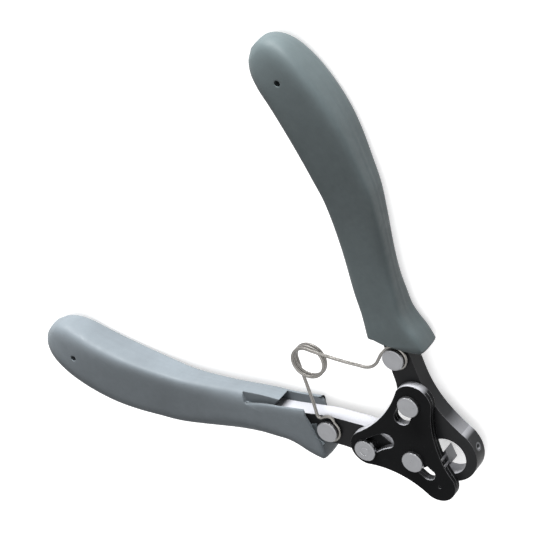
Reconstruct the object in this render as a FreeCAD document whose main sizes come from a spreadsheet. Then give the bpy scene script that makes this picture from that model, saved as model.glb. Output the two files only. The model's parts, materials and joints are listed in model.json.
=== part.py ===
import FreeCAD, Part
import math
import os
import Sketcher

# Hand-squeezed wire looping and trimming tool, lying flat.  Millimetres.
# +Z is the front face of the tool, +X points to the nose, +Y to the handle that
# carries the ring jaw.  Every part is drawn from the axis of the main pivot pin,
# half way through the thickness of the two arms, and is then moved so that the
# origin is the centre of the open tool.
V = FreeCAD.Vector
doc = FreeCAD.newDocument("looping_tool")

# ---------------------------------------------------------------- driving dimensions
# alias, value
CELLS = [
    # arms and their half-thickness hub joint
    ("arm_half_thick", 2.6), ("arm_lap_gap", 0.05), ("hub_radius", 4.2), ("hub_relief", 4.5),
    # yoke plates
    ("plate_inner", 4.0), ("plate_thick", 1.3), ("liner_gap", 0.05), ("liner_thick", 1.31),
    # pins: shank and bore radii, half widths of the plate slots
    ("pivot_shank", 2.1), ("pivot_bore", 2.15), ("pivot_slot_half", 2.16),
    ("guide_shank", 2.44), ("guide_bore", 2.46), ("guide_slot_half", 2.5),
    ("head_radius", 3.3), ("turned_head_radius", 3.35), ("head_thick", 1.2),
    ("face_gap", 0.05), ("head_break", 0.2), ("pin_tail", 4.6), ("tail_step", 0.1),
    ("lathe_ring_radius", 1.6), ("lathe_ring_depth", 0.32),
    ("lathe_boss_radius", 1.1), ("lathe_boss_sink", 0.2), ("lathe_boss_height", 0.17),
    # clips and washers
    ("clip_groove_low", 4.12), ("clip_groove_high", 3.48), ("pivot_groove", 1.7),
    ("guide_groove", 2.0), ("clip_outer", 3.7), ("pivot_clip_outer", 3.3),
    ("clip_thick", 0.56), ("clip_gap", 0.04), ("clip_mouth", 2.4), ("ring_fit", 0.03),
    ("washer_thick", 0.82), ("washer_gap", 0.04), ("upper_washer_outer", 4.9),
    ("lower_washer_outer", 4.6), ("pivot_washer_outer", 3.9),
    # guide pin and spring post places
    ("upper_x", -11.69), ("upper_y", 14.97), ("lower_x", -12.06), ("lower_y", -9.37),
    ("post_x", -23.74), ("upper_post_y", 23.17), ("lower_post_y", -15.86),
    # spring posts
    ("post_shank", 1.5), ("post_bore", 1.51), ("post_collar", 2.95), ("post_collar_top", 4.05),
    ("post_head", 3.29), ("post_head_top", 4.9), ("post_gap", 0.03),
    # ring jaw and wire guide bush
    ("ring_x", 5.6), ("ring_y", 8.5), ("ring_outer", 9.3), ("eye_x", 6.15), ("eye_y", 7.7),
    ("eye_radius", 5.9), ("bush_outer", 1.25), ("bush_seat", 1.26), ("bush_bore", 0.75),
    # dowels and forming block
    ("dowel_radius", 0.6), ("dowel_seat", 0.61), ("dowel_top", 4.86), ("seat_depth", 0.9),
    ("block_low", 1.2), ("block_top", 2.63),
    # spring
    ("wire_radius", 0.5), ("coil_radius", 4.95), ("coil_x", -41.3), ("coil_y", 1.3),
    ("coil_low", 3.4), ("coil_pitch", 1.1), ("coil_lift", 0.24),
    ("hook_radius", 3.52), ("hook_level", 3.2),
    # cuts in the grips
    ("post_clear", 4.3), ("tang_clear", 0.04), ("hang_hole", 0.9), ("hang_hole_depth", 4.0),
    ("slot_floor", 2.64), ("slot_top", 4.05),
    # shift of the finished parts along X
    ("frame_x", 46.595),
]
sheet = doc.addObject("Spreadsheet::Sheet", "Dimensions")
sheet.Label = "Dimensions"
for row, (alias, value) in enumerate(CELLS, start=2):
    sheet.set("A%d" % row, alias)
    sheet.set("B%d" % row, repr(value))
    sheet.setAlias("B%d" % row, alias)
doc.recompute()
D = dict(CELLS)
PARTS = []

# Expressions are written with bare aliases and a space round every sign.
ARM_BACK = "- arm_half_thick"
ARM_THICK = "2 * arm_half_thick"
TANG_TOP = "arm_half_thick + tang_clear"
TANG_DEPTH = "2 * arm_half_thick + 2 * tang_clear"
PLATE_FRONT = "plate_inner + plate_thick"
HEAD_BASE = PLATE_FRONT + " + face_gap"
WASHER_BACK = "- arm_half_thick - washer_gap - washer_thick"
CLIP_BACK = WASHER_BACK + " - clip_gap - clip_thick"
FRAME_Y = "0 - ( upper_post_y + lower_post_y ) / 2"

PIVOT = ("0", "0")
UPPER_GUIDE = ("upper_x", "upper_y")
LOWER_GUIDE = ("lower_x", "lower_y")
UPPER_POST = ("post_x", "upper_post_y")
LOWER_POST = ("post_x", "lower_post_y")

# A through cut starts at this height and goes down by this depth.
CUT_TOP = 8
CUT_DEPTH = 16
GRIP_CUT_TOP = 9
GRIP_CUT_DEPTH = 18

# mirror line of the handles, y
AXIS_Y = (D["upper_post_y"] + D["lower_post_y"]) / 2.0


# ---------------------------------------------------------------- modelling helpers
def bound(text):
    """Expression with each alias pointed at the spreadsheet."""
    words = str(text).split(" ")
    return " ".join("Dimensions." + word if word in D else word for word in words)


def bind(item, **values):
    for name, text in values.items():
        item.setExpression(name.replace("__", "."), bound(text))


def new_body(label):
    body = doc.addObject("PartDesign::Body", label)
    body.Label = label
    PARTS.append(body)
    return body


def flat_sketch(body, name, placement=None):
    """Sketch on the body's XY plane, or moved from it by a placement."""
    sketch = body.newObject("Sketcher::SketchObject", body.Label + "_" + name)
    plane = [item for item in body.Origin.OriginFeatures if item.Role == "XY_Plane"][0]
    sketch.AttachmentSupport = [(plane, "")]
    sketch.MapMode = "FlatFace"
    if placement is not None:
        sketch.AttachmentOffset = placement
    return sketch


def level_sketch(body, name, z, centre=()):
    sketch = flat_sketch(body, name)
    for axis, text in list(zip("xy", centre)) + [("z", z)]:
        sketch.setExpression("AttachmentOffset.Base." + axis, bound(text))
    return sketch


def add_circle(sketch, radius):
    start = 1.0
    circle = sketch.addGeometry(Part.Circle(V(0, 0, 0), V(0, 0, 1), start), False)
    sketch.addConstraint(Sketcher.Constraint("Coincident", circle, 3, -1, 1))
    size = sketch.addConstraint(Sketcher.Constraint("Radius", circle, start))
    sketch.setExpression("Constraints[%d]" % size, bound(radius))


def add_outline(sketch, items):
    """Items are (kind, points): a line through the points, an arc or a spline."""
    for kind, points in items:
        places = [V(x, y, 0) for x, y in points]
        if kind == "line":
            for start, end in zip(places[:-1], places[1:]):
                sketch.addGeometry(Part.LineSegment(start, end), False)
        elif kind == "arc":
            sketch.addGeometry(Part.Arc(*places), False)
        elif kind == "spline":
            curve = Part.BSplineCurve()
            curve.interpolate(places)
            sketch.addGeometry(curve, False)


def extrude(body, sketch, length, kind):
    feature = body.newObject("PartDesign::" + kind, sketch.Name + "_" + kind.lower())
    feature.Profile = sketch
    feature.Type = "Length"
    bind(feature, Length=length)
    return feature


def pad(body, sketch, length):
    return extrude(body, sketch, length, "Pad")


def pocket(body, sketch, length):
    return extrude(body, sketch, length, "Pocket")


def disc(body, name, centre, z, radius, length):
    sketch = level_sketch(body, name, z, centre)
    add_circle(sketch, radius)
    return pad(body, sketch, length)


def bore(body, name, centre, radius, z=CUT_TOP, depth=CUT_DEPTH):
    """Round cut going down from z."""
    sketch = level_sketch(body, name, z, centre)
    add_circle(sketch, radius)
    pocket(body, sketch, depth)


def shape_pad(body, name, items, z, length):
    sketch = level_sketch(body, name, z)
    add_outline(sketch, items)
    pad(body, sketch, length)


def shape_cut(body, name, items, z=CUT_TOP, depth=CUT_DEPTH):
    sketch = level_sketch(body, name, z)
    add_outline(sketch, items)
    pocket(body, sketch, depth)


def break_head_edge(body, head):
    """Chamfer the longest edge on the top of a head."""
    doc.recompute()
    edges = head.Shape.Edges
    top = max(range(len(edges)),
              key=lambda i: (round(edges[i].CenterOfMass.z, 3), edges[i].Length))
    chamfer = body.newObject("PartDesign::Chamfer", body.Label + "_head_break")
    chamfer.Base = (head, ["Edge%d" % (top + 1)])
    bind(chamfer, Size="head_break")


# ---------------------------------------------------------------- handle centre line
# x, half spread from the mirror line, width in plan, thickness, superellipse exponent
STATIONS = [
    (-25.2, 22.6, 16.4, 10.2, 4.0), (-29.6, 25.4, 14.9, 9.8, 4.0),
    (-35.2, 29.2, 13.4, 9.2, 4.0), (-40.9, 33.2, 13.4, 8.8, 4.0),
    (-46.6, 38.1, 13.9, 8.6, 4.0), (-52.3, 43.3, 14.4, 8.6, 4.0),
    (-58.0, 48.4, 15.0, 8.8, 4.0), (-63.7, 53.0, 15.8, 9.4, 4.0),
    (-69.5, 56.6, 16.3, 10.4, 4.0), (-75.2, 60.0, 16.9, 11.3, 4.0),
    (-80.9, 63.0, 17.4, 12.0, 4.0), (-86.6, 65.4, 17.4, 12.4, 4.0),
    (-92.3, 67.3, 17.1, 12.5, 4.0), (-98.0, 68.6, 16.5, 12.1, 3.4),
    (-102.8, 69.5, 14.7, 10.9, 3.0), (-106.2, 70.0, 11.0, 8.8, 2.6),
    (-108.1, 70.2, 6.2, 5.6, 2.3),
]
HANG_STATION = 13
HANG_SHIFT_X = 1.6
HANG_SHIFT_IN = 0.2
SECTION_POINTS = 24

# station number, half width of the arm's tang
TANG_WIDTHS = [(2, 3.6), (4, 3.4), (6, 3.2), (8, 3.0), (10, 2.7)]


# side is 1 for the upper handle (+Y) and -1 for the lower handle
def handle_point(i, side):
    return V(STATIONS[i][0], AXIS_Y + side * STATIONS[i][1], 0)


def handle_direction(i, side):
    last = len(STATIONS) - 1
    if i == 0:
        return V(-0.62, side * 0.785, 0).normalize()
    before = i - 2 if i == last else i - 1
    after = min(i + 1, last)
    return (handle_point(after, side) - handle_point(before, side)).normalize()


def outward_normal(i, side):
    """Unit vector across the handle, away from the mirror line."""
    direction = handle_direction(i, side)
    normal = V(-direction.y, direction.x, 0)
    return -normal if normal.y * side < 0 else normal


def tang_edge(side, edge):
    """Tang edge points: edge is 1 for the outer edge and -1 for the inner."""
    points = []
    for i, half_width in TANG_WIDTHS:
        place = handle_point(i, side) + outward_normal(i, side) * (edge * half_width)
        points.append((place.x, place.y))
    return points


def bar_outline(side, outer_edge, inner_edge, front_line):
    """Arm outline; both edges run from the nose end back to the tang."""
    outer = outer_edge + tang_edge(side, 1)
    inner = inner_edge + tang_edge(side, -1)
    return [("spline", outer), ("line", [outer[-1], inner[-1]]),
            ("spline", inner[::-1]), ("line", front_line)]


# x, y along each edge ahead of the tang, then across the front end
UPPER_BAR = bar_outline(
    1,
    [(4.9, 17.75), (-2.3, 18.3), (-6.8, 19.3), (-13.4, 22.1), (-20.3, 26.6), (-26.6, 30.6)],
    [(-8.2, 11.9), (-11.7, 10.4), (-15.2, 12.0), (-18.2, 15.2), (-21.4, 17.7), (-26.5, 21.8)],
    [(-8.2, 11.9), (-3.9, 2.9), (1.5, 1.5), (6.0, 6.0), (4.9, 17.75)])
LOWER_BAR = bar_outline(
    -1,
    [(-2.4, -3.3), (-6.6, -11.0), (-12.4, -14.3), (-17.0, -16.9), (-21.6, -20.2),
     (-27.0, -24.0)],
    [(-4.6, -1.7), (-8.2, -3.4), (-12.2, -3.7), (-16.5, -5.3), (-20.5, -8.1),
     (-24.7, -11.1), (-29.0, -14.8)],
    [(-4.6, -1.7), (-2.4, -3.3)])

# ---------------------------------------------------------------- wire feed line
# The feed hole runs radially through the ring wall; the eye is off the ring's centre.
FEED_DIR = V(4.93, 7.63, 0).normalize()
FEED_TURN = FreeCAD.Rotation(V(0, 0, 1), FEED_DIR)
RING_CENTRE = V(D["ring_x"], D["ring_y"], 0)
FEED_OUT = RING_CENTRE + FEED_DIR * D["ring_outer"]
eye_to_ring = RING_CENTRE - V(D["eye_x"], D["eye_y"], 0)
along_feed = eye_to_ring.dot(FEED_DIR)
eye_reach = -along_feed + math.sqrt(
    along_feed ** 2 - eye_to_ring.dot(eye_to_ring) + D["eye_radius"] ** 2)
FEED_IN = RING_CENTRE + FEED_DIR * eye_reach
FEED_START = 1.0        # cuts start this far outside the ring
SEAT_CUT = 5.6
BUSH_BORE_CUT = 6
BUSH_INSET = 0.15       # inner end of the bush, back from the eye surface
BUSH_SHORTER = 0.25     # bush length less than the ring wall


def feed_circle(body, name, start, radius):
    sketch = flat_sketch(body, name, FreeCAD.Placement(start, FEED_TURN))
    add_circle(sketch, radius)
    return sketch


# ---------------------------------------------------------------- arms
HUB_THICK = "arm_half_thick - arm_lap_gap"
LAP_REACH = 6


def arm_holes(body, guide, post):
    bore(body, "pivot_hole", PIVOT, "pivot_bore")
    bore(body, "guide_hole", guide, "guide_bore")
    bore(body, "post_hole", post, "post_bore")


def build_upper_arm():
    body = new_body("arm_upper")
    shape_pad(body, "bar", UPPER_BAR, ARM_BACK, ARM_THICK)
    disc(body, "ring", ("ring_x", "ring_y"), ARM_BACK, "ring_outer", ARM_THICK)
    # the hub keeps only its front half
    disc(body, "hub", PIVOT, "arm_lap_gap", "hub_radius", HUB_THICK)
    bore(body, "lap", PIVOT, "hub_relief", "arm_lap_gap", LAP_REACH)
    bore(body, "eye", ("eye_x", "eye_y"), "eye_radius")
    arm_holes(body, UPPER_GUIDE, UPPER_POST)
    seat = feed_circle(body, "bush_seat", FEED_OUT + FEED_DIR * FEED_START, "bush_seat")
    pocket(body, seat, SEAT_CUT)


def build_lower_arm():
    body = new_body("arm_lower")
    shape_pad(body, "bar", LOWER_BAR, ARM_BACK, ARM_THICK)
    # the hub keeps only its back half
    disc(body, "hub", PIVOT, ARM_BACK, "hub_radius", HUB_THICK)
    bore(body, "lap", PIVOT, "hub_relief", LAP_REACH, "%d + arm_lap_gap" % LAP_REACH)
    arm_holes(body, LOWER_GUIDE, LOWER_POST)


def build_bush():
    body = new_body("wire_guide_bush")
    section = feed_circle(body, "section", FEED_IN + FEED_DIR * BUSH_INSET, "bush_outer")
    pad(body, section, "%.4f" % ((FEED_OUT - FEED_IN).Length - BUSH_SHORTER))
    hole = feed_circle(body, "bore", FEED_OUT + FEED_DIR * FEED_START, "bush_bore")
    pocket(body, hole, BUSH_BORE_CUT)


build_upper_arm()
build_lower_arm()
build_bush()

# ---------------------------------------------------------------- grips
# Inner wall window near the front end, x and y on the lower side.
WINDOW = [(-20.0, -6.0), (-29.0, -20.0), (-40.5, -27.0), (-40.5, -12.0), (-30.0, -5.0),
          (-20.0, -6.0)]
# Slot in the lower grip's inner wall for the spring's lower leg, x and y.
SPRING_SLOT = [(-22.0, -10.0), (-22.0, -21.8), (-30.0, -23.3), (-40.0, -27.3),
               (-47.5, -30.6), (-54.0, -26.5), (-54.0, -10.0), (-22.0, -10.0)]


def grip_section(body, i, side):
    width, thick, exponent = STATIONS[i][2:]
    across = outward_normal(i, side)
    # sketch X lies across the handle and sketch Y along +Z
    turn = FreeCAD.Rotation(FreeCAD.Matrix(across.x, 0, across.y, 0,
                                           across.y, 0, -across.x, 0,
                                           0, 1, 0, 0,
                                           0, 0, 0, 1))
    placement = FreeCAD.Placement(handle_point(i, side), turn)
    sketch = flat_sketch(body, "section_%02d" % i, placement)
    points = []
    for k in range(SECTION_POINTS):
        angle = 2 * math.pi * k / SECTION_POINTS
        cosine, sine = math.cos(angle), math.sin(angle)
        reach = (abs(cosine) ** exponent + abs(sine) ** exponent) ** (-1.0 / exponent)
        points.append(V(reach * cosine * width / 2, reach * sine * thick / 2, 0))
    curve = Part.BSplineCurve()
    curve.interpolate(points, PeriodicFlag=True)
    sketch.addGeometry(curve, False)
    return sketch


def build_grip(label, side, bar, window, post):
    body = new_body(label)
    sections = [grip_section(body, i, side) for i in range(len(STATIONS))]
    loft = body.newObject("PartDesign::AdditiveLoft", label + "_loft")
    loft.Profile = sections[0]
    loft.Sections = sections[1:]
    loft.Ruled = False
    shape_cut(body, "tang_slot", bar, TANG_TOP, TANG_DEPTH)
    shape_cut(body, "inner_window", [("line", window)], TANG_TOP, TANG_DEPTH)
    if side < 0:
        shape_cut(body, "spring_slot", [("line", SPRING_SLOT)],
                  "slot_top", "slot_top - slot_floor")
    bore(body, "post_scallop", post, "post_clear", GRIP_CUT_TOP, GRIP_CUT_DEPTH)
    station = handle_point(HANG_STATION, side)
    centre = ("%.3f" % (station.x + HANG_SHIFT_X), "%.3f" % (station.y - side * HANG_SHIFT_IN))
    # the hole's depth is counted from z = 6
    bore(body, "hanging_hole", centre, "hang_hole",
         GRIP_CUT_TOP, "%d - 6 + hang_hole_depth" % GRIP_CUT_TOP)


build_grip("grip_upper", 1, UPPER_BAR, [(x, 2 * AXIS_Y - y) for x, y in WINDOW], UPPER_POST)
build_grip("grip_lower", -1, LOWER_BAR, WINDOW, LOWER_POST)

# ---------------------------------------------------------------- yoke plates
SLIDE = 14.58           # pivot travel, mm per radian of the upper arm
LOWER_RATIO = -1.45     # lower arm turn per upper arm turn
FULL_TURN = 22.0        # upper arm turn over a whole squeeze, degrees
PIVOT_TRAVEL = 5.7      # length of the pivot slot between end centres

# plate edge: start, middle and end of each arc, x and y
PLATE = [
    ("arc", [(-17.25, 15.7), (-11.5, 22.25), (-6.2, 19.0)]),
    ("arc", [(-6.2, 19.0), (0.2, 11.1), (10.7, 4.75)]),
    ("arc", [(10.7, 4.75), (15.32, -0.7), (10.3, -6.2)]),
    ("arc", [(10.3, -6.2), (-0.3, -8.0), (-8.9, -13.45)]),
    ("arc", [(-8.9, -13.45), (-15.5, -13.05), (-17.35, -6.9)]),
    ("arc", [(-17.35, -6.9), (-15.33, 3.46), (-17.25, 15.7)]),
]
BLOCK_DOWELS = [(5.45, 6.75), (7.25, 5.7)]      # pin the forming block to both plates
PLATE_DOWELS = [(11.55, -1.1), (-4.6, 3.4)]     # keep the two plates in line
FORMING_BLOCK = [(4.35, 9.15), (8.3, 6.85), (8.3, 4.4), (6.2, 4.4), (4.6, 5.9), (4.35, 9.15)]


def slot_outline(path, radius):
    """Round-ended slot about a path of three points, straight or curved."""
    (x0, y0), (x1, y1), (x2, y2) = path

    def unit(x, y):
        length = math.hypot(x, y)
        return x / length, y / length

    first = unit(x1 - x0, y1 - y0)
    chord = unit(x2 - x0, y2 - y0)
    last = unit(x2 - x1, y2 - y1)
    stops = list(zip(path, (first, chord, last)))
    left = [(x - dy * radius, y + dx * radius) for (x, y), (dx, dy) in stops]
    right = [(x + dy * radius, y - dx * radius) for (x, y), (dx, dy) in stops]
    end_cap = [left[2], (x2 + last[0] * radius, y2 + last[1] * radius), right[2]]
    start_cap = [right[0], (x0 - first[0] * radius, y0 - first[1] * radius), left[0]]
    if abs((x1 - x0) * (y2 - y0) - (y1 - y0) * (x2 - x0)) < 1e-6:
        sides = [("line", [left[0], left[2]]), ("line", [right[2], right[0]])]
    else:
        sides = [("arc", left), ("arc", right[::-1])]
    return [sides[0], ("arc", end_cap), sides[1], ("arc", start_cap)]


def guide_slot(x_alias, y_alias, ratio):
    """Slot swept by a guide pin as its arm turns and the pivot slides."""
    x, y = D[x_alias], D[y_alias]
    path = []
    for part in (0, 0.5, 1.0):
        lead = math.radians(FULL_TURN * part)
        cosine, sine = math.cos(ratio * lead), math.sin(ratio * lead)
        path.append((x * cosine - y * sine + SLIDE * lead, x * sine + y * cosine))
    return slot_outline(path, D["guide_slot_half"])


def build_plate(label, z, thick, blind):
    """Blind dowel seats are sunk from the back face; the others go right through."""
    body = new_body(label)
    shape_pad(body, "outline", PLATE, z, thick)
    shape_cut(body, "upper_slot", guide_slot(*UPPER_GUIDE, ratio=1.0))
    shape_cut(body, "lower_slot", guide_slot(*LOWER_GUIDE, ratio=LOWER_RATIO))
    travel = [(0, 0), (PIVOT_TRAVEL / 2, 0), (PIVOT_TRAVEL, 0)]
    shape_cut(body, "pivot_slot", slot_outline(travel, D["pivot_slot_half"]))
    seat = ("plate_inner + seat_depth", "seat_depth + 0.5") if blind else (CUT_TOP, CUT_DEPTH)
    for k, centre in enumerate(BLOCK_DOWELS + PLATE_DOWELS):
        bore(body, "seat_%d" % k, centre, "dowel_seat", *seat)
    return body


front_plate = build_plate("yoke_front_plate", "plate_inner", "plate_thick", blind=True)
# small dimple in the front face near the nose; the cut starts 0.1 above the face
bore(front_plate, "nose_dimple", (10.71, -1.01), 0.45, PLATE_FRONT + " + 0.1", 0.35)
build_plate("yoke_liner_plate", "arm_half_thick + liner_gap", "liner_thick", blind=False)


def build_forming_block():
    body = new_body("forming_block")
    shape_pad(body, "outline", [("line", FORMING_BLOCK)],
              "- block_low", "block_top + block_low")
    for k, centre in enumerate(BLOCK_DOWELS):
        bore(body, "dowel_%d" % k, centre, "dowel_seat")


def build_dowels(label, places, low):
    """Equal plain dowels, kept as separate solids of one part."""
    cylinders = []
    for k, (x, y) in enumerate(places):
        cylinder = doc.addObject("Part::Cylinder", "%s_%d" % (label, k))
        cylinder.Placement.Base = V(x, y, 0)
        bind(cylinder, Radius="dowel_radius", Height="dowel_top - ( " + low + " )",
             Placement__Base__z=low)
        cylinders.append(cylinder)
    compound = doc.addObject("Part::Compound", label)
    compound.Label = label
    compound.Links = cylinders
    PARTS.append(compound)


build_forming_block()
build_dowels("block_dowels", BLOCK_DOWELS, "0.2 - block_low")
build_dowels("plate_dowels", PLATE_DOWELS, "arm_half_thick + liner_gap + 0.05")


# ---------------------------------------------------------------- pins, clips and washers
def build_pin(label, centre, shank, groove, head_radius, turned=False):
    """Headed pin with a clip groove at its back end; turned adds marks on the head."""
    body = new_body(label)
    disc(body, "tail", centre, "- pin_tail", shank + " - tail_step",
         "pin_tail - clip_groove_low")
    disc(body, "groove", centre, "- clip_groove_low", groove,
         "clip_groove_low - clip_groove_high")
    disc(body, "shank", centre, "- clip_groove_high", shank, HEAD_BASE + " + clip_groove_high")
    head = disc(body, "head", centre, HEAD_BASE, head_radius, "head_thick")
    break_head_edge(body, head)
    if turned:
        head_top = HEAD_BASE + " + head_thick"
        # a shallow round recess, cut from 0.2 above the head, with a boss in it
        bore(body, "lathe_ring", centre, "lathe_ring_radius",
             head_top + " + 0.2", "lathe_ring_depth")
        disc(body, "lathe_boss", centre, head_top + " - lathe_boss_sink",
             "lathe_boss_radius", "lathe_boss_height")


def build_clip(label, centre, groove, outer, angle):
    """Open retaining clip; its mouth faces the given angle from +X."""
    body = new_body(label)
    disc(body, "blank", centre, CLIP_BACK, outer, "clip_thick")
    bore(body, "bore", centre, groove + " + ring_fit", 0, 8)
    reach, half = 6, D["clip_mouth"] / 2
    cosine, sine = math.cos(math.radians(angle)), math.sin(math.radians(angle))
    corners = [(0, -half), (reach, -half), (reach, half), (0, half), (0, -half)]
    turned = [(x * cosine - y * sine, x * sine + y * cosine) for x, y in corners]
    sketch = level_sketch(body, "mouth", 0, centre)
    add_outline(sketch, [("line", turned)])
    pocket(body, sketch, 8)


def build_washer(label, centre, shank, outer):
    rings = []
    for name, radius in (("outer", outer), ("inner", shank + " + ring_fit")):
        cylinder = doc.addObject("Part::Cylinder", label + "_" + name)
        bind(cylinder, Radius=radius, Height="washer_thick", Placement__Base__x=centre[0],
             Placement__Base__y=centre[1], Placement__Base__z=WASHER_BACK)
        rings.append(cylinder)
    cut = doc.addObject("Part::Cut", label)
    cut.Label = label
    cut.Base, cut.Tool = rings
    PARTS.append(cut)


build_pin("pivot_pin", PIVOT, "pivot_shank", "pivot_groove", "head_radius")
build_pin("upper_guide_pin", UPPER_GUIDE, "guide_shank", "guide_groove", "head_radius")
build_pin("lower_guide_pin", LOWER_GUIDE, "guide_shank", "guide_groove",
          "turned_head_radius", turned=True)

build_clip("pivot_clip", PIVOT, "pivot_groove", "pivot_clip_outer", angle=20)
build_clip("upper_guide_clip", UPPER_GUIDE, "guide_groove", "clip_outer", angle=150)
build_clip("lower_guide_clip", LOWER_GUIDE, "guide_groove", "clip_outer", angle=215)

build_washer("pivot_washer", PIVOT, "pivot_shank", "pivot_washer_outer")
build_washer("upper_guide_washer", UPPER_GUIDE, "guide_shank", "upper_washer_outer")
build_washer("lower_guide_washer", LOWER_GUIDE, "guide_shank", "lower_washer_outer")


# ---------------------------------------------------------------- spring posts
def build_post(label, centre):
    body = new_body(label)
    disc(body, "rivet", centre, ARM_BACK, "post_shank", ARM_THICK + " + post_gap")
    disc(body, "collar", centre, "arm_half_thick + post_gap", "post_collar",
         "post_collar_top - arm_half_thick - post_gap")
    head = disc(body, "head", centre, "post_collar_top", "post_head",
                "post_head_top - post_collar_top")
    break_head_edge(body, head)


build_post("upper_spring_post", UPPER_POST)
build_post("lower_spring_post", LOWER_POST)

# ---------------------------------------------------------------- torsion spring, two halves
COIL_START = 233.0              # angle where the lower leg meets the coil, degrees
COIL_SWEEP = 117.4 + 720.0      # whole coil, clockwise seen from the front, degrees
HALF_SWEEP = COIL_SWEEP / 2.0
END_GAP = 1.0                   # each half stops this far from the middle, degrees
PATH_STEP = 1.1                 # spacing of the wire sections
SPLINE_STEPS = 16               # samples between two path points
WIRE_POINTS = 12                # points round a wire section


def polar(x, y, radius, degrees, z):
    angle = math.radians(degrees)
    return V(x + radius * math.cos(angle), y + radius * math.sin(angle), z)


def coil_rise(swept):
    return D["coil_low"] + D["coil_pitch"] * swept / 360.0


def coil_point(swept, lift=0.0):
    return polar(D["coil_x"], D["coil_y"], D["coil_radius"], COIL_START - swept,
                 lift + coil_rise(swept))


def hook_points(post, angles):
    x, y = D[post[0]], D[post[1]]
    return [polar(x, y, D["hook_radius"], angle, D["hook_level"]) for angle in angles]


def smooth_path(points, step):
    """Centripetal spline through the points, resampled at an even step."""
    ends = [points[0] * 2 - points[1]] + points + [points[-1] * 2 - points[-2]]
    dense = []
    for i in range(1, len(ends) - 2):
        p0, p1, p2, p3 = ends[i - 1:i + 3]
        knots = [0.0]
        for start, end in ((p0, p1), (p1, p2), (p2, p3)):
            knots.append(knots[-1] + max((end - start).Length, 1e-6) ** 0.5)
        for j in range(SPLINE_STEPS):
            at = knots[1] + (knots[2] - knots[1]) * j / SPLINE_STEPS

            def mix(start, end, first, last):
                low, high = knots[first], knots[last]
                span = high - low
                return start * ((high - at) / span) + end * ((at - low) / span)

            a1, a2, a3 = mix(p0, p1, 0, 1), mix(p1, p2, 1, 2), mix(p2, p3, 2, 3)
            b1, b2 = mix(a1, a2, 0, 2), mix(a2, a3, 1, 3)
            dense.append(mix(b1, b2, 1, 2))
    dense.append(points[-1])

    run = [0.0]
    for start, end in zip(dense[:-1], dense[1:]):
        run.append(run[-1] + (end - start).Length)
    count = max(int(run[-1] / step), 4)
    path, k = [], 0
    for i in range(count + 1):
        want = run[-1] * i / count
        while k < len(run) - 2 and run[k + 1] < want:
            k += 1
        part = (want - run[k]) / max(run[k + 1] - run[k], 1e-9)
        path.append(dense[k] + (dense[k + 1] - dense[k]) * part)
    return path


def build_spring(label, points):
    """Loft of round wire sections; each section's frame follows on from the last."""
    path = smooth_path(points, PATH_STEP)
    wires, normal = [], V(0, 0, 1)
    for i, centre in enumerate(path):
        ahead, behind = path[min(i + 1, len(path) - 1)], path[max(i - 1, 0)]
        along = (ahead - behind).normalize()
        normal = (normal - along * normal.dot(along)).normalize()
        across = along.cross(normal)
        ring = []
        for k in range(WIRE_POINTS):
            angle = math.pi * 2 * k / WIRE_POINTS
            ring.append(centre + normal * (D["wire_radius"] * math.cos(angle))
                        + across * (D["wire_radius"] * math.sin(angle)))
        curve = Part.BSplineCurve()
        curve.interpolate(ring, PeriodicFlag=True)
        wires.append(Part.Wire([curve.toShape()]))
    shape = Part.makeLoft(wires, True, False)
    if shape.Volume < 0:
        shape.reverse()
    feature = doc.addObject("Part::Feature", label)
    feature.Label = label
    feature.Shape = shape
    PARTS.append(feature)


# Legs: x, y, height above the hook level, from the lower hook to the coil
LOWER_LEG = [
    (-24.9, -11.75, 0), (-25.9, -11.7, 0), (-26.7, -12.3, 0), (-27.3, -13.4, 0),
    (-27.85, -14.5, 0), (-28.75, -14.85, 0), (-29.8, -14.1, 0), (-31.5, -12.6, 0.02),
    (-34.0, -10.6, 0.05), (-37.0, -8.25, 0.1), (-40.0, -5.95, 0.15), (-42.3, -4.2, 0.18),
]
# x, y, drop below the end of the coil
UPPER_LEG_HIGH = [(-42.45, 6.26, 0.02), (-38.5, 8.17, 0.5), (-33.5, 10.59, 1.35)]
# x, y, z on to the upper hook
UPPER_LEG_LOW = [
    (-30.0, 12.2, 3.9), (-28.0, 13.4, 3.6), (-26.9, 15.0, 3.35), (-26.6, 16.7, D["hook_level"]),
    (-26.9, 18.6, D["hook_level"]), (-27.3, 20.6, D["hook_level"]),
]

lower_path = hook_points(LOWER_POST, (-35, -10, 15, 40, 65, 88))
lower_path += [V(x, y, D["hook_level"] + rise) for x, y, rise in LOWER_LEG]
lower_path += [coil_point(swept) for swept in range(0, 401, 20)]
lower_path.append(coil_point(HALF_SWEEP - END_GAP))
build_spring("spring_lower_half", lower_path)

coil_end_z = D["coil_lift"] + coil_rise(COIL_SWEEP)
upper_path = [coil_point(HALF_SWEEP + END_GAP, D["coil_lift"])]
upper_path += [coil_point(swept, D["coil_lift"]) for swept in range(440, 821, 20)]
upper_path += [V(x, y, coil_end_z - drop) for x, y, drop in UPPER_LEG_HIGH]
upper_path += [V(*point) for point in UPPER_LEG_LOW]
upper_path += hook_points(UPPER_POST, (184, 160, 135, 110, 85, 60, 35, 10, -15, -38))
build_spring("spring_upper_half", upper_path)

# ---------------------------------------------------------------- frame, checks and export
for part in PARTS:
    bind(part, Placement__Base__x="frame_x", Placement__Base__y=FRAME_Y)
doc.recompute()

failed = [item.Name for item in doc.Objects if "Invalid" in item.State or "Error" in item.State]
if failed:
    raise SystemExit("failed objects: " + ", ".join(failed))
for part in PARTS:
    if part.Shape.isNull() or not part.Shape.isValid() or part.Shape.Volume <= 0:
        raise SystemExit("bad shape: " + part.Label)

os.makedirs("parts", exist_ok=True)
for part in PARTS:
    part.Shape.exportStep("parts/%s.step" % part.Label)
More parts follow.
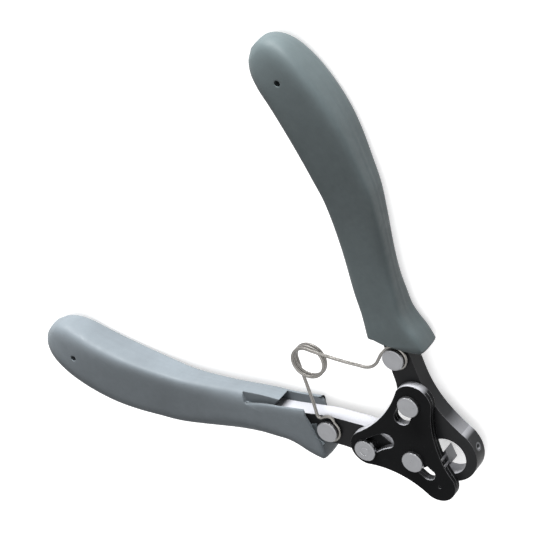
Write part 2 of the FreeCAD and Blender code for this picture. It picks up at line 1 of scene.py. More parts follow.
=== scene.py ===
# Spring-opened forming pliers, lying flat with their thickness along Z. The handles run
# towards -X: the upper one on the +Y side, the lower one on the -Y side. The steel parts are
# CAD pieces; the grip sleeves and the coil spring are built here. Those are drawn in
# millimetres from the main pivot pin's axis, then moved into the shared frame in metres.
import json
import math

import bpy
import bmesh
from mathutils import Matrix, Vector

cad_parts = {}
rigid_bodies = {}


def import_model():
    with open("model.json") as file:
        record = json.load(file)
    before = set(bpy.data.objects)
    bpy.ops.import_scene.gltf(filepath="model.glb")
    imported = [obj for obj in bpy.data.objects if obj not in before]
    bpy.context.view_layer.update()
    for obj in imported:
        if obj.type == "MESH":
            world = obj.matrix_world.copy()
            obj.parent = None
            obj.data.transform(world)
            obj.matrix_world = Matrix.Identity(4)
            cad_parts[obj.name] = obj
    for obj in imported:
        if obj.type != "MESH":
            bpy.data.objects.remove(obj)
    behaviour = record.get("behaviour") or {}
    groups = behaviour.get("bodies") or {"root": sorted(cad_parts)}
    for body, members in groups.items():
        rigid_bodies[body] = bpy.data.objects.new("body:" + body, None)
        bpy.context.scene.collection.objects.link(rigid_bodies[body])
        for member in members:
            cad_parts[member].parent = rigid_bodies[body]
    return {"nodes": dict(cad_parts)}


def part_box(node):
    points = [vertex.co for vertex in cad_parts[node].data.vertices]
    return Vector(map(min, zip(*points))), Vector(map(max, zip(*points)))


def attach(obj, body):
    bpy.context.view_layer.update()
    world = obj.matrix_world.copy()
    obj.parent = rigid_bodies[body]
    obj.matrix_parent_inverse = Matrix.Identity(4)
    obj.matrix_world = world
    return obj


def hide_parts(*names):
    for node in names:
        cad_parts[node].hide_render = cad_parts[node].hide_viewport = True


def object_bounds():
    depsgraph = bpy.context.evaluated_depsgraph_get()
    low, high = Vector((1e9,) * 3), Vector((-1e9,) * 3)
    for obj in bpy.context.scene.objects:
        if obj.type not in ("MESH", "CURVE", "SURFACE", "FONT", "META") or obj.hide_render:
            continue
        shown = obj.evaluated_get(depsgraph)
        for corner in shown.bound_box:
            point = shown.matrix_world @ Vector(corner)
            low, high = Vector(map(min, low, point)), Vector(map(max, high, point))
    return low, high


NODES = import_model()["nodes"]
CAD_BOX = [list(v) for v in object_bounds()]
MM = 0.001


def centre(node):
    low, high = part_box(node)
    return (Vector(low) + Vector(high)) / 2


def drawn_place(node):
    """X and Y of a CAD piece, in drawing millimetres."""
    place = centre(node) - PIVOT
    return place.x / MM, place.y / MM


# the pivot axis, found from the upper spring post
post = centre("upper_spring_post")
PIVOT = Vector((post.x + 0.02374, post.y - 0.02317, 0.0))
UPPER_POST = drawn_place("upper_spring_post")
LOWER_POST = drawn_place("lower_spring_post")
AXIS_Y = (UPPER_POST[1] + LOWER_POST[1]) / 2  # line midway between the handles
FLOOR_Z = min(corner[2] for corner in CAD_BOX)


# ------------------------------------------------------------------ material helpers
class Material:
    """A node tree around one Principled shader. Values may be numbers or output sockets."""

    def __init__(self, name):
        self.data = bpy.data.materials.new(name)
        self.data.use_nodes = True
        self.tree = self.data.node_tree
        self.tree.nodes.clear()
        output = self.node("ShaderNodeOutputMaterial")
        self.shader = self.node("ShaderNodeBsdfPrincipled")
        self.feed(output, {"Surface": self.shader.outputs["BSDF"]})

    def feed(self, node, inputs):
        for key, value in inputs.items():
            socket = node.inputs[key]
            if hasattr(value, "is_output"):
                self.tree.links.new(value, socket)
            elif socket.type == "RGBA":
                socket.default_value = (*value, 1)
            else:
                socket.default_value = value

    def node(self, kind, inputs={}, **settings):
        node = self.tree.nodes.new(kind)
        for key, value in settings.items():
            setattr(node, key, value)
        self.feed(node, inputs)
        return node

    def finish(self, inputs):
        self.feed(self.shader, inputs)
        return self.data

    def math(self, operation, a, b=0.0, clamp=False):
        inputs = {0: a, 1: b, 2: 0.0}
        return self.node("ShaderNodeMath", inputs, operation=operation, use_clamp=clamp).outputs[0]

    def add(self, a, b):
        return self.math("ADD", a, b)

    def times(self, a, b):
        return self.math("MULTIPLY", a, b)

    def mask(self, a, b):
        """Product held between 0 and 1."""
        return self.math("MULTIPLY", a, b, clamp=True)

    def vector_math(self, operation, a, b=(0, 0, 0)):
        node = self.node("ShaderNodeVectorMath", {0: a, 1: b}, operation=operation)
        return node.outputs["Value" if operation in ("LENGTH", "DOT_PRODUCT") else 0]

    def coords(self):
        return self.node("ShaderNodeTexCoord").outputs["Object"]

    def normal(self):
        return self.node("ShaderNodeNewGeometry").outputs["Normal"]

    def stretch(self, vector, scale):
        return self.node("ShaderNodeMapping", {"Vector": vector, "Scale": scale}).outputs[0]

    def noise(self, vector, scale, detail, rough):
        inputs = {"Vector": vector, "Scale": scale, "Detail": detail, "Roughness": rough}
        return self.node("ShaderNodeTexNoise", inputs).outputs[0]

    def remap(self, value, span, to):
        inputs = dict(enumerate((value, *span, *to)))
        return self.node("ShaderNodeMapRange", inputs).outputs[0]

    def mix(self, factor, a, b):
        return self.node("ShaderNodeMix", {0: factor, 6: a, 7: b}, data_type="RGBA").outputs[2]

    def edges(self, radius, gain):
        """A mask that is 1 on sharp edges and 0 on flats, and the rounded normal."""
        rounded = self.node("ShaderNodeBevel", {"Radius": radius}, samples=4).outputs[0]
        flatness = self.vector_math("DOT_PRODUCT", rounded, self.normal())
        return self.mask(self.math("SUBTRACT", 1.0, flatness), gain), rounded

    def bump(self, height, normal, strength, distance):
        inputs = {"Strength": strength, "Distance": distance, "Height": height, "Normal": normal}
        return self.node("ShaderNodeBump", inputs).outputs[0]


def tint(colour, gain):
    return tuple(c * gain for c in colour)


# ------------------------------------------------------------------ materials
def black_steel(name, tone, rough, edge_rub_and_highlight, painted_wall_light, specular):
    """Blackened steel with rubbed, lightened edges (real rubbing and a painted edge highlight) and
    painted light on the side walls that face the key light.
    """
    m = Material(name)
    coords = m.coords()
    cloud = m.noise(coords, scale=260.0, detail=5.0, rough=0.65)
    fine = m.noise(coords, scale=3200.0, detail=3.0, rough=0.6)
    brush = m.noise(m.stretch(coords, (1.0, 9.0, 9.0)), scale=900.0, detail=3.0, rough=0.7)
    edge, rounded = m.edges(radius=0.00022, gain=3.2)

    # clouded black with faint grey scuffs
    scuff = m.noise(coords, scale=900.0, detail=6.0, rough=0.75)
    scuff = m.remap(scuff, span=(0.62, 0.74), to=(0.0, 1.0))
    colour = m.mix(cloud, tint((0.8, 0.83, 0.9), tone), tint((1.45, 1.5, 1.6), tone))
    colour = m.mix(m.mask(scuff, 0.12), colour, (0.12, 0.12, 0.125))

    # patchy lighter metal along the edges: rubbing, and partly a painted edge highlight
    patches = m.noise(coords, scale=420.0, detail=4.0, rough=0.7)
    rubbed_highlit_edge = m.mask(edge, m.remap(patches, span=(0.3, 0.7), to=(0.35, 1.0)))
    colour = m.mix(m.mask(rubbed_highlit_edge, edge_rub_and_highlight), colour, (0.34, 0.345, 0.36))

    # painted light: side walls that face -X and +Y, toward the low key light, are painted lighter
    # and more metallic than the blackened faces
    normal = m.normal()
    upright = m.math("ABSOLUTE", m.vector_math("DOT_PRODUCT", normal, (0.0, 0.0, 1.0)))
    key_light_facing = m.vector_math("DOT_PRODUCT", normal, (-0.85, 0.53, 0.0))
    key_light_facing = m.remap(key_light_facing, span=(0.4, 0.8), to=(0.0, 1.0))
    wall = m.mask(
        m.remap(upright, span=(0.2, 0.7), to=(1.0, 0.0)),
        m.remap(brush, span=(0.3, 0.7), to=(painted_wall_light * 0.75, painted_wall_light)),
    )
    wall = m.mask(wall, key_light_facing)
    colour = m.mix(wall, colour, (0.36, 0.365, 0.39))

    # the painted wall light and the rubbed edges also raise metallic and specular
    rubbed_or_lit = m.math("MAXIMUM", wall, m.mask(rubbed_highlit_edge, edge_rub_and_highlight), clamp=True)
    grain = m.add(m.times(cloud, 0.6), m.times(fine, 0.4))
    relief = m.add(m.times(fine, 0.7), m.times(brush, 0.5))
    return m.finish({
        "Base Color": colour,
        "Metallic": m.remap(rubbed_or_lit, span=(0.0, 1.0), to=(0.0, 0.7)),
        "Specular IOR Level": m.remap(rubbed_or_lit, span=(0.0, 1.0), to=(specular, 0.5)),
        "Roughness": m.remap(grain, span=(0.3, 0.75), to=(rough - 0.07, rough + 0.12)),
        "Normal": m.bump(relief, rounded, strength=0.16, distance=0.00003),
    })


def bright_steel(name, base, rough, ring_centre=None, ring_scale=None):
    """Bare steel, with turning rings about a vertical axis if a centre is given."""
    m = Material(name)
    coords = m.coords()
    cloud = m.noise(coords, scale=350.0, detail=5.0, rough=0.6)
    fine = m.noise(coords, scale=5200.0, detail=3.0, rough=0.6)
    edge, rounded = m.edges(radius=0.00018, gain=2.4)

    # clouded base, dark spots, painted edge highlight
    colour = m.mix(cloud, tint(base, 0.82), tint(base, 1.1))
    spots = m.noise(coords, scale=1500.0, detail=4.0, rough=0.7)
    spots = m.remap(spots, span=(0.66, 0.74), to=(0.0, 0.35))
    colour = m.mix(spots, colour, (0.28, 0.27, 0.26))
    colour = m.mix(m.mask(edge, 0.5), colour, (0.9, 0.9, 0.92))

    relief = fine
    if ring_centre is not None:
        offset = m.vector_math("SUBTRACT", coords, tuple(ring_centre))
        flat = m.vector_math("MULTIPLY", offset, (1.0, 1.0, 0.0))
        radius = m.vector_math("LENGTH", flat)
        grooves = m.math("SINE", m.times(radius, ring_scale))
        jitter = m.noise(m.stretch(coords, (1, 1, 1)), scale=1200.0, detail=2.0, rough=0.5)
        relief = m.add(m.times(grooves, 0.5), m.times(m.add(fine, jitter), 0.5))
        groove_mask = m.remap(grooves, span=(-1, 1), to=(0.0, 0.16))
        colour = m.mix(groove_mask, colour, (0.36, 0.36, 0.37))
        m.finish({"Anisotropic": 0.35})
    return m.finish({
        "Base Color": colour,
        "Metallic": 1.0,
        "Roughness": m.remap(cloud, span=(0.3, 0.7), to=(rough - 0.06, rough + 0.1)),
        "Normal": m.bump(relief, rounded, strength=0.14, distance=0.00002),
    })


def grip_rubber(name, base):
    """Pebbled vinyl with polished patches."""
    m = Material(name)
    coords = m.coords()
    broad = m.noise(coords, scale=45.0, detail=4.0, rough=0.55)
    medium = m.noise(coords, scale=420.0, detail=5.0, rough=0.6)
    fine = m.noise(coords, scale=5200.0, detail=3.0, rough=0.65)
    pebbles = m.node("ShaderNodeTexVoronoi", {"Vector": coords, "Scale": 2600.0})
    edge, rounded = m.edges(radius=0.0005, gain=1.6)

    # broad and medium mottling, lighter edges
    mottle = m.remap(broad, span=(0.3, 0.7), to=(0.0, 1.0))
    colour = m.mix(mottle, tint(base, 0.86), tint(base, 1.10))
    colour = m.mix(m.remap(medium, span=(0.35, 0.75), to=(0.0, 0.25)), colour, tint(base, 0.78))
    polish = m.noise(coords, scale=130.0, detail=5.0, rough=0.7)
    polish = m.remap(polish, span=(0.55, 0.72), to=(0.0, 0.3))
    colour = m.mix(m.mask(edge, 0.35), colour, tint(base, 1.6))

    matt = m.remap(medium, span=(0.3, 0.7), to=(0.54, 0.66))
    relief = m.add(m.times(pebbles.outputs["Distance"], 0.6), m.times(fine, 0.6))
    relief = m.add(relief, m.times(medium, 0.8))
    return m.finish({
        "Base Color": colour,
        "Roughness": m.math("SUBTRACT", matt, m.times(polish, 0.4)),
        "Specular IOR Level": 0.34,
        "Sheen Weight": 0.03,
        "Normal": m.bump(relief, rounded, strength=0.22, distance=0.00006),
    })


def floor_white():
    m = Material("pale_floor")
    cloud = m.noise(m.coords(), scale=30.0, detail=3.0, rough=0.6)
    return m.finish({
        "Base Color": m.mix(cloud, (0.93, 0.93, 0.93), (0.96, 0.96, 0.96)),
        "Roughness": 0.9,
        "Emission Color": (1.0, 1.0, 1.0),
        "Emission Strength": 0.45,
    })


# ------------------------------------------------------------------ CAD pieces
def paint(obj, material):
    obj.data.materials.clear()
    obj.data.materials.append(material)


def smooth(mesh, sharp_degrees):
    mesh.shade_smooth()
    mesh.set_sharp_from_angle(angle=math.radians(sharp_degrees))


# per material, the edge amount mixes rubbing with a painted edge highlight, and the wall amount is
# painted light on the side walls turned to the key light
for material, nodes in (
    (black_steel("satin_black_arm", tone=0.008, rough=0.36, edge_rub_and_highlight=0.34, painted_wall_light=0.9,
                 specular=0.1), ("arm_upper", "arm_lower")),
    (black_steel("satin_black_plate", tone=0.0035, rough=0.34, edge_rub_and_highlight=0.6, painted_wall_light=0.55,
                 specular=0.03), ("yoke_front_plate", "yoke_liner_plate")),
    (black_steel("dark_tool_steel", tone=0.05, rough=0.3, edge_rub_and_highlight=0.4, painted_wall_light=0.75,
                 specular=0.2), ("wire_guide_bush",)),
    (bright_steel("ground_steel", base=(0.20, 0.203, 0.212), rough=0.34), ("forming_block",)),
    (bright_steel("washer_steel", base=(0.44, 0.445, 0.46), rough=0.32),
     ("pivot_washer", "upper_guide_washer", "lower_guide_washer")),
    (bright_steel("phosphated_clip", base=(0.2, 0.2, 0.21), rough=0.42),
     ("pivot_clip", "upper_guide_clip", "lower_guide_clip")),
    (bright_steel("dowel_steel", base=(0.5, 0.5, 0.52), rough=0.3),
     ("block_dowels", "plate_dowels")),
):
    for node in nodes:
        paint(NODES[node], material)
spring_steel = bright_steel("spring_wire", base=(0.27, 0.26, 0.245), rough=0.24)

# turned pins: node, radians of groove wave per metre of radius, roughness
for node, ring_scale, rough in (
    ("pivot_pin", 5200.0, 0.3),
    ("upper_guide_pin", 4300.0, 0.31),
    ("lower_guide_pin", 7000.0, 0.27),
    ("upper_spring_post", 3900.0, 0.33),
    ("lower_spring_post", 4800.0, 0.33),
):
    paint(NODES[node], bright_steel("turned_" + node, base=(0.33, 0.335, 0.35), rough=rough,
                                    ring_centre=centre(node), ring_scale=ring_scale))

for obj in NODES.values():
    smooth(obj.data, sharp_degrees=32)


# ------------------------------------------------------------------ mesh helpers
def add_object(name, bm):
    mesh = bpy.data.meshes.new(name)
    bm.to_mesh(mesh)
    bm.free()
    obj = bpy.data.objects.new(name, mesh)
    bpy.context.scene.collection.objects.link(obj)
    return obj


def add_solid(name, bm):
    bmesh.ops.recalc_face_normals(bm, faces=bm.faces)
    return add_object(name, bm)


def bridge(bm, rings):
    for a, b in zip(rings[:-1], rings[1:]):
        for k in range(len(a)):
            after = (k + 1) % len(a)
            bm.faces.new((a[k], a[after], b[after], b[k]))


def prism(points, z_low, z_high):
    bm = bmesh.new()
    face = bm.faces.new([bm.verts.new((x * MM, y * MM, z_low * MM)) for x, y in points])
    extruded = bmesh.ops.extrude_face_region(bm, geom=[face])
    for part in extruded["geom"]:
        if isinstance(part, bmesh.types.BMVert):
            part.co.z = z_high * MM
    return add_solid("cutter", bm)


def circle(x, y, radius, count):
    angles = [2 * math.pi * i / count for i in range(count)]
    return [(x + radius * math.cos(a), y + radius * math.sin(a)) for a in angles]


def cut(obj, cutter):
    """Subtracts the cutter, applies the result and removes the cutter."""
    boolean = obj.modifiers.new("cut", "BOOLEAN")
    boolean.operation = "DIFFERENCE"
    boolean.solver = "EXACT"
    boolean.object = cutter
    evaluated = obj.evaluated_get(bpy.context.evaluated_depsgraph_get())
    mesh = bpy.data.meshes.new_from_object(evaluated)
    obj.modifiers.clear()
    obj.data = mesh
    bpy.data.objects.remove(cutter)


def finish_shape(obj, sharp_degrees):
    smooth(obj.data, sharp_degrees)
    obj.data.transform(Matrix.Translation(PIVOT))


# ------------------------------------------------------------------ grip sleeves
# sleeve sections from hilt to butt: x, distance from AXIS_Y, width, thickness (mm)
STATIONS = [
    (-25.2, 22.6, 16.4, 10.2), (-29.6, 25.4, 14.9, 9.8), (-35.2, 29.2, 13.4, 9.2),
    (-40.9, 33.2, 13.4, 8.8), (-46.6, 38.1, 13.9, 8.6), (-52.3, 43.3, 14.4, 8.6),
    (-58.0, 48.4, 15.0, 8.8), (-63.7, 53.0, 15.8, 9.4), (-69.5, 56.6, 16.3, 10.4),
    (-75.2, 60.0, 16.9, 11.3), (-80.9, 63.0, 17.4, 12.0), (-86.6, 65.4, 17.4, 12.4),
    (-92.3, 67.3, 17.1, 12.5), (-98.0, 68.6, 16.5, 12.1), (-102.8, 69.5, 14.7, 10.9),
    (-106.2, 70.0, 11.0, 8.8), (-108.1, 70.2, 6.2, 5.6),
]
# positions t along the sleeve are fractional station numbers
LAST = len(STATIONS) - 1.0
SLEEVE_STEPS = 150
RING_POINTS = 96
TANGENT_STEP = 0.02
HILT_TURN = 0.8  # the sections turn to the hilt's own direction before this t
TAPER_START = 9  # from here to the butt the sections grow rounder
HALF_THROUGH = 9  # cutters that pass right out of the sleeve end at this z (mm)

RIM_RADIUS = 1.7
RIM_ANGLES = (90, 65, 45, 25, 10)
RIM_END = 0.38  # plain sections start past this t
BUTT_CAP = ((0.86, 0.144), (0.62, 0.279), (0.34, 0.36))  # scale of last section, push (mm)

POST_SCALLOP_RADIUS = 4.3
BUTT_HOLE_RADIUS = 0.9
# cutter outlines (x, y) for the lower sleeve; the first two are mirrored for the upper one
ARM_POCKET = [(-20.0, -6.0), (-29.0, -20.0), (-40.5, -27.0), (-40.5, -12.0), (-30.0, -5.0)]
CHEEK_END = [
    (-34.6, -14.5), (-31.5, -17.0), (-29.0, -18.0), (-25.2, -20.2), (-22.8, -21.1),
    (-21.0, -19.5), (-19.9, -17.3), (-18.0, -12.0), (-24.0, -5.0), (-36.0, -5.0),
]
LEG_SLOT = [
    (-22.0, -10.0), (-22.0, -21.8), (-30.0, -23.3), (-40.0, -27.3), (-47.5, -30.6),
    (-54.0, -26.5), (-54.0, -10.0),
]


def station_at(t):
    """Catmull-Rom interpolation of the station table."""
    count = len(STATIONS)
    i = min(int(t), count - 2)
    f = t - i
    near = [STATIONS[j] for j in (max(i - 1, 0), i, i + 1, min(i + 2, count - 1))]
    return [
        0.5 * (2 * b + (c - a) * f + (2 * a - 5 * b + 4 * c - d) * f * f
               + (3 * b - a - 3 * c + d) * f ** 3)
        for a, b, c, d in zip(*near)
    ]


def bell(value, middle, width):
    return math.exp(-((value - middle) / width) ** 2)


def sleeve_ring(bm, side, t, shrink=0.0, setback=0.0):
    """One superellipse section; side is +1 for the upper handle, -1 for the lower."""
    x, half, width, thickness = station_at(t)
    before = station_at(max(t - TANGENT_STEP, 0))
    after = station_at(min(t + TANGENT_STEP, LAST))
    along = Vector((after[0] - before[0], side * (after[1] - before[1]), 0)).normalized()
    if t < HILT_TURN:
        turn = 1 - t / HILT_TURN
        along = (along * (1 - turn) + Vector((-0.62, side * 0.785, 0)) * turn).normalized()
    outward = Vector((-along.y, along.x, 0))
    if outward.y * side < 0:
        outward = -outward
    middle = Vector((x, AXIS_Y + side * half, 0)) + along * setback

    power = 8.0
    if t >= TAPER_START:
        power = 8.0 - (t - TAPER_START) / (LAST - TAPER_START) * 5.75
    # rounder edges where the closed spring coil lies over the sleeve
    power -= 4.0 * bell(t, 4.2, 2.2)
    # flare at the hilt and dip behind it, on the outer wall only
    flare = 1.3 * bell(t, 0.25, 0.55) - 0.7 * bell(t, 1.7, 0.6)

    ring = []
    for k in range(RING_POINTS):
        angle = 2 * math.pi * k / RING_POINTS
        # more vertices round the four rolled edges
        angle = angle + 0.17 * math.sin(4 * angle)
        c, s = math.cos(angle), math.sin(angle)
        reach = (abs(c) ** power + abs(s) ** power) ** (-1.0 / power)
        across = reach * c * (width / 2 - shrink)
        if c > 0:
            across += c * flare
        z = reach * s * (thickness / 2 - shrink)
        # moulding line: fine raised bead on the two side walls
        if 0.15 < t < 15.2 and abs(c) > 0.6:
            across += math.copysign(0.11 * bell(z, 0.0, 0.16), across)
        ring.append(bm.verts.new((
            (middle.x + outward.x * across) * MM,
            (middle.y + outward.y * across) * MM,
            z * MM,
        )))
    return ring


def butt_rings(bm, side, tip):
    x, half = STATIONS[-1][:2]
    middle = Vector((x, AXIS_Y + side * half, 0))
    push_way = Vector((-1, side * 0.14, 0)).normalized()
    rings = []
    for scale, push in BUTT_CAP:
        places = [middle + (vert.co / MM - middle) * scale + push_way * push for vert in tip]
        rings.append([bm.verts.new(place * MM) for place in places])
    return rings


def grip_sleeve(name, side, node, post_place):
    bm = bmesh.new()
    rings = []
    for degrees in RIM_ANGLES:
        angle = math.radians(degrees)
        shrink = RIM_RADIUS * (1 - math.cos(angle))
        setback = RIM_RADIUS - RIM_RADIUS * math.sin(angle)
        rings.append(sleeve_ring(bm, side, 0.0, shrink, setback))
    # even steps, with two more close to the butt
    steps = [LAST * (k / SLEEVE_STEPS) for k in range(SLEEVE_STEPS + 1)]
    steps += [LAST * (1 - 0.5 ** j * 0.004) for j in range(1, 3)]
    rings += [sleeve_ring(bm, side, t) for t in sorted(steps) if t > RIM_END]
    rings += butt_rings(bm, side, rings[-1])
    bridge(bm, rings)
    bm.faces.new(rings[-1])
    bm.faces.new(rings[0][::-1])
    sleeve = add_solid(name, bm)

    def handed(points):
        return points if side < 0 else [(x, 2 * AXIS_Y - y) for x, y in points]

    # scallop round the spring post, and hole near the butt in the +Z face
    scallop = circle(*post_place, POST_SCALLOP_RADIUS, 72)
    cut(sleeve, prism(scallop, -HALF_THROUGH, HALF_THROUGH))
    hole_x = STATIONS[13][0] + 1.6
    hole_y = AXIS_Y + side * (STATIONS[13][1] - 0.2)
    cut(sleeve, prism(circle(hole_x, hole_y, BUTT_HOLE_RADIUS, 40), 2.0, HALF_THROUGH))
    # pocket at the arm's level, end of the +Z cheek, slot for the lower spring leg
    cut(sleeve, prism(handed(ARM_POCKET), -2.66, 2.66))
    cut(sleeve, prism(handed(CHEEK_END), 2.655, HALF_THROUGH))
    if side < 0:
        cut(sleeve, prism(LEG_SLOT, 2.65, 4.2))
    finish_shape(sleeve, sharp_degrees=38)
    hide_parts(node)
    return sleeve


# the upper sleeve uses a darker copy of the same vinyl as the lower one: painted shade
vinyl_lower = grip_rubber("grey_vinyl_lower", base=(0.054, 0.063, 0.070))
vinyl_upper_shaded = grip_rubber("grey_vinyl_upper_shaded", base=(0.028, 0.0365, 0.0385))
for hand, side, post_place, vinyl in (
    ("upper", 1, UPPER_POST, vinyl_upper_shaded),
    ("lower", -1, LOWER_POST, vinyl_lower),
):
    sleeve = grip_sleeve(f"{hand}_handle_sleeve", side, f"grip_{hand}", post_place)
    paint(sleeve, vinyl)
    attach(sleeve, f"{hand}_handle")

# ------------------------------------------------------------------ spring
# lengths in mm, angles in degrees
WIRE_RADIUS = 0.5
WIRE_STEP = 0.35
WIRE_SIDES = 20
SPAN_POINTS = 24  # curve points between two path points
WIRE_END = ((0.0, 0.72), (0.05, 0.93), (0.14, 1.0))  # inset from the end, share of radius
COIL_CENTRE = (-41.3, 1.3)
COIL_RADIUS = 4.95
COIL_LOW_Z = 3.4
COIL_START = 233.0  # the coil runs clockwise from here
COIL_SWEEP = 117.4 + 720.0
COIL_STOP = 832.0  # the last coil point lies before this sweep
COIL_STEP = 10.0
PITCH = 1.1
LIFT = 0.24  # added rise, spread over the whole coil
OVERLAP = 46  # each half runs this far past the coil's middle
HOOK_RADIUS = 3.52
LEG_Z = 3.2


def polar(middle, radius, degrees, z):
    angle = math.radians(degrees)
    return Vector((middle[0] + radius * math.cos(angle), middle[1] + radius * math.sin(angle), z))


def coil_z(sweep):
    return COIL_LOW_Z + (PITCH * COIL_SWEEP + LIFT * 360) / COIL_SWEEP * sweep / 360.0


def coil_points(start, stop):
    sweeps = [start + COIL_STEP * i for i in range(int((stop - start) // COIL_STEP) + 1)]
    return [polar(COIL_CENTRE, COIL_RADIUS, COIL_START - a, coil_z(a)) for a in sweeps]


def hook(post_place, angles):
    return [polar(post_place, HOOK_RADIUS, a, LEG_Z) for a in angles]


def smooth_path(points):
    """Centripetal Catmull-Rom curve through the points."""
    ends = [points[0] * 2 - points[1]] + points + [points[-1] * 2 - points[-2]]
    curve = []
    for i in range(1, len(points)):
        p = ends[i - 1:i + 3]
        knots = [0.0]
        for a, b in zip(p[:-1], p[1:]):
            knots.append(knots[-1] + max((b - a).length, 1e-6) ** 0.5)
        for j in range(SPAN_POINTS):
            u = knots[1] + (knots[2] - knots[1]) * j / SPAN_POINTS

            def blend(a, b, first, last):
                low, high = knots[first], knots[last]
                return a * ((high - u) / (high - low)) + b * ((u - low) / (high - low))

            q = [blend(p[k], p[k + 1], k, k + 1) for k in range(3)]
            curve.append(blend(blend(q[0], q[1], 0, 2), blend(q[1], q[2], 1, 3), 1, 2))
    return curve + [points[-1]]


def even_path(curve):
    """The curve resampled at even steps of about WIRE_STEP."""
    run = [0.0]
    for a, b in zip(curve[:-1], curve[1:]):
        run.append(run[-1] + (b - a).length)
    count = int(run[-1] / WIRE_STEP)
    path, k = [], 0
    for i in range(count + 1):
        want = run[-1] * i / count
        while k < len(run) - 2 and run[k + 1] < want:
            k += 1
        share = (want - run[k]) / max(run[k + 1] - run[k], 1e-9)
        path.append(curve[k].lerp(curve[k + 1], share))
    return path


def wire(name, points):
    path = even_path(smooth_path(points))
    bm = bmesh.new()
    across = Vector((0, 0, 1))
    last = len(path) - 1
    rings = []
    for i, place in enumerate(path):
        along = (path[min(i + 1, last)] - path[max(i - 1, 0)]).normalized()
        across = (across - along * across.dot(along)).normalized()
        other = along.cross(across)
        sections = [(place, WIRE_RADIUS)]
        # domed wire ends
        if i == 0:
            sections = [(place + along * inset, WIRE_RADIUS * s) for inset, s in WIRE_END]
        if i == last:
            sections = [(place - along * inset, WIRE_RADIUS * s) for inset, s in WIRE_END[::-1]]
        for middle, radius in sections:
            ring = []
            for j in range(WIRE_SIDES):
                angle = 2 * math.pi * j / WIRE_SIDES
                rim = across * (radius * math.cos(angle)) + other * (radius * math.sin(angle))
                ring.append(bm.verts.new((middle + rim) * MM))
            rings.append(ring)
    bridge(bm, rings)
    bm.faces.new(rings[0][::-1])
    bm.faces.new(rings[-1])
    obj = add_solid(name, bm)
    finish_shape(obj, sharp_degrees=50)
    return obj


# lower leg from hook to coil: x, y, height above LEG_Z
LOWER_LEG = [
    (-24.9, -11.75, 0.0), (-25.9, -11.7, 0.0), (-26.7, -12.3, 0.0), (-27.3, -13.4, 0.0),
    (-27.85, -14.5, 0.0), (-28.75, -14.85, 0.0), (-29.8, -14.1, 0.0), (-31.5, -12.6, 0.02),
    (-34.0, -10.6, 0.05), (-37.0, -8.25, 0.1), (-40.0, -5.95, 0.15), (-42.3, -4.2, 0.18),
]
# upper leg from coil to hook: x, y, z
COIL_TOP_Z = coil_z(COIL_SWEEP)
UPPER_LEG = [
    (-42.45, 6.26, COIL_TOP_Z - 0.02), (-38.5, 8.17, COIL_TOP_Z - 0.5),
    (-33.5, 10.59, COIL_TOP_Z - 1.35), (-30.0, 12.2, 3.9), (-28.0, 13.4, 3.6),
    (-26.9, 15.0, 3.35), (-26.6, 16.7, LEG_Z), (-26.9, 18.6, LEG_Z), (-27.3, 20.6, LEG_Z),
]
lower_path = hook(LOWER_POST, (-35, -22, -10, 2, 15, 27, 40, 52, 65, 77, 88))
lower_path += [Vector((x, y, LEG_Z + rise)) for x, y, rise in LOWER_LEG]
lower_path += coil_points(0.0, COIL_SWEEP / 2 + OVERLAP)
upper_path = coil_points(COIL_SWEEP / 2 - OVERLAP, COIL_STOP)
upper_path += [Vector(place) for place in UPPER_LEG]
upper_path += hook(UPPER_POST, (184, 172, 160, 147, 135, 122, 110, 97, 85, 72, 60, 47, 35, 22,
                                10, -2, -15, -26, -38))
for hand, path in (("lower", lower_path), ("upper", upper_path)):
    half_spring = wire(f"spring_wire_{hand}", path)
    half_spring.data.materials.append(spring_steel)
    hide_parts(f"spring_{hand}_half")
    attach(half_spring, f"spring_{hand}")

# ------------------------------------------------------------------ floor
floor_material = floor_white()
bm = bmesh.new()
bmesh.ops.create_grid(bm, x_segments=2, y_segments=2, size=4.0)
floor = add_object("floor", bm)
floor.location = (0, 0, FLOOR_Z - 0.0001)
floor.data.materials.append(floor_material)

# ------------------------------------------------------------------ world
# dark near the horizon and white above; plain pale grey to the camera
world = bpy.data.worlds.new("studio")
bpy.context.scene.world = world
world.use_nodes = True
nodes, links = world.node_tree.nodes, world.node_tree.links
sky_coords = nodes.new("ShaderNodeTexCoord")
sky_axes = nodes.new("ShaderNodeSeparateXYZ")
sky_ramp = nodes.new("ShaderNodeValToRGB")
light_path = nodes.new("ShaderNodeLightPath")
sky_mix = nodes.new("ShaderNodeMix")
sky_mix.data_type = "RGBA"
sky_stops = ((0.08, (0.08, 0.08, 0.085, 1)), (0.45, (1.0, 1.0, 1.0, 1)))
for stop, (position, colour) in zip(sky_ramp.color_ramp.elements, sky_stops):
    stop.position = position
    stop.color = colour
sky_mix.inputs[7].default_value = (0.95, 0.95, 0.95, 1)
background = nodes["Background"]
background.inputs["Strength"].default_value = 1.05
links.new(sky_coords.outputs["Generated"], sky_axes.inputs[0])
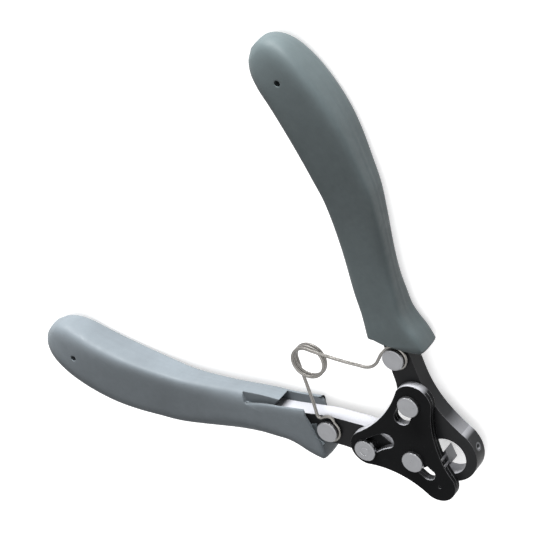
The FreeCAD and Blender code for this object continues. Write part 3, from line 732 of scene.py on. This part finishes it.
links.new(sky_axes.outputs["Z"], sky_ramp.inputs[0])
links.new(light_path.outputs["Is Camera Ray"], sky_mix.inputs[0])
links.new(sky_ramp.outputs[0], sky_mix.inputs[6])
links.new(sky_mix.outputs[2], background.inputs["Color"])

# ------------------------------------------------------------------ lights
LIGHT_TARGET = Vector((-0.045, 0.004, 0.0)) + PIVOT


def area_light(name, direction, distance, size, power):
    light = bpy.data.lights.new(name, "AREA")
    light.energy = power
    light.size = size
    obj = bpy.data.objects.new(name, light)
    direction = Vector(direction).normalized()
    obj.location = LIGHT_TARGET + direction * distance
    obj.rotation_mode = "QUATERNION"
    obj.rotation_quaternion = direction.to_track_quat("Z", "Y")
    bpy.context.scene.collection.objects.link(obj)
    return obj


# the low key lights reach the tool but not the floor
tool_only = bpy.data.collections.new("tool_only")
for obj in bpy.data.objects:
    if obj.type == "MESH" and obj is not floor:
        tool_only.objects.link(obj)
for kind, power in (("diffuse", 30.0), ("gloss", 9.0)):
    key = area_light(f"key_low_{kind}", direction=(-0.75, 0.65, 0.11), distance=0.6, size=0.5,
                     power=power)
    key.data.shape = "RECTANGLE"
    key.data.size_y = 0.10
    key.light_linking.receiver_collection = tool_only
    key.visible_glossy = kind == "gloss"
    key.visible_diffuse = kind == "diffuse"
area_light("top_soft", direction=(0.1, 0.25, 1.0), distance=0.7, size=0.6, power=1.0)

# ------------------------------------------------------------------ camera
lens = bpy.data.cameras.new("camera")
lens.sensor_width = 36.0
lens.lens = 161.93
lens.clip_start = 0.01
lens.clip_end = 10
camera = bpy.data.objects.new("camera", lens)
right = Vector((0.74325, 0.45389, -0.49150)).normalized()
up = Vector((-0.66670, 0.56357, -0.48774))
up = (up - right * up.dot(right)).normalized()
place = Vector((-0.0302086, 0.4860536, 0.4942198)) + PIVOT
turn = Matrix((right, up, right.cross(up))).transposed()
camera.matrix_world = Matrix.Translation(place) @ turn.to_4x4()
scene = bpy.context.scene
scene.collection.objects.link(camera)
scene.camera = camera
scene.view_settings.view_transform = "Standard"
scene.view_settings.look = "None"
